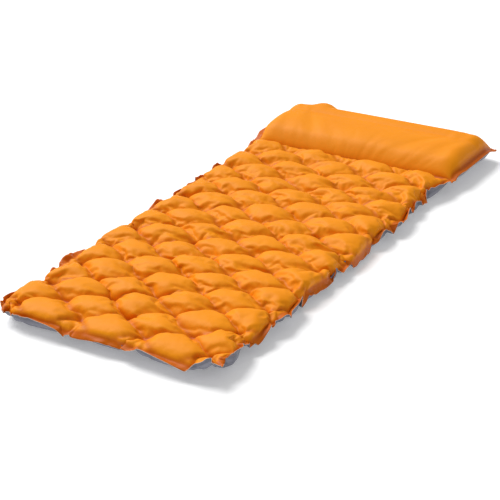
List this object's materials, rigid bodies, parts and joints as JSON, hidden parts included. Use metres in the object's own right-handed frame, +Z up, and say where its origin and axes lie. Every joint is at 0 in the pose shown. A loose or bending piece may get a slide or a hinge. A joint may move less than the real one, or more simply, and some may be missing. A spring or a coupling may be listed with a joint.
{
  "type": "inflatable sleeping pad",
  "caption": "Inflatable sleeping pad with staggered welded puffs, a built-in full-width pillow and a flat two-lid air valve on the pillow's rear slope.",
  "frame": {"origin": "on the floor under the middle of the inflated pad", "axes": "+X across the pad, +Y along it toward the pillow, +Z up"},
  "size_m": [0.77, 1.83, 0.11],
  "materials": {
    "top_fabric": "coated nylon weave, satin",
    "bottom_fabric": "coated nylon weave, matte",
    "inner_fabric": "coated film",
    "soft_plastic": "moulded, matte",
    "lid_plastic": "moulded, fine texture",
    "seal": "smooth",
    "flap_silicone": "translucent silicone"
  },
  "bodies": {
    "pad": {"top_sheet": "top_fabric", "pillow_panel": "top_fabric", "bottom_sheet": "bottom_fabric", "pillow_tie": "inner_fabric", "valve_patch": "inner_fabric", "valve_base": "soft_plastic", "lid_seal": "seal"},
    "lid": {"deflate_lid": "lid_plastic", "flap_cage": "lid_plastic"},
    "flap": {"check_flap": "flap_silicone"},
    "cap": {"inflate_cap": "lid_plastic", "cap_seal": "seal"}
  },
  "joints": [
    {"name": "lid_hinge", "type": "hinge", "parent": "pad", "child": "lid", "pos_m": [-0.25, 0.89044, 0.09531], "axis": [1, 0, 0], "range_deg": [0, 110]},
    {"name": "cap_hinge", "type": "hinge", "parent": "lid", "child": "cap", "pos_m": [-0.25, 0.89744, 0.08732], "axis": [1, 0, 0], "range_deg": [0, 100]},
    {"name": "flap_lift", "type": "slide", "parent": "lid", "child": "flap", "axis": [0, -0.9397, -0.342], "range_m": [0, 0.0015], "stiffness_N_per_m": 20, "springref_m": -0.0005}
  ]
}
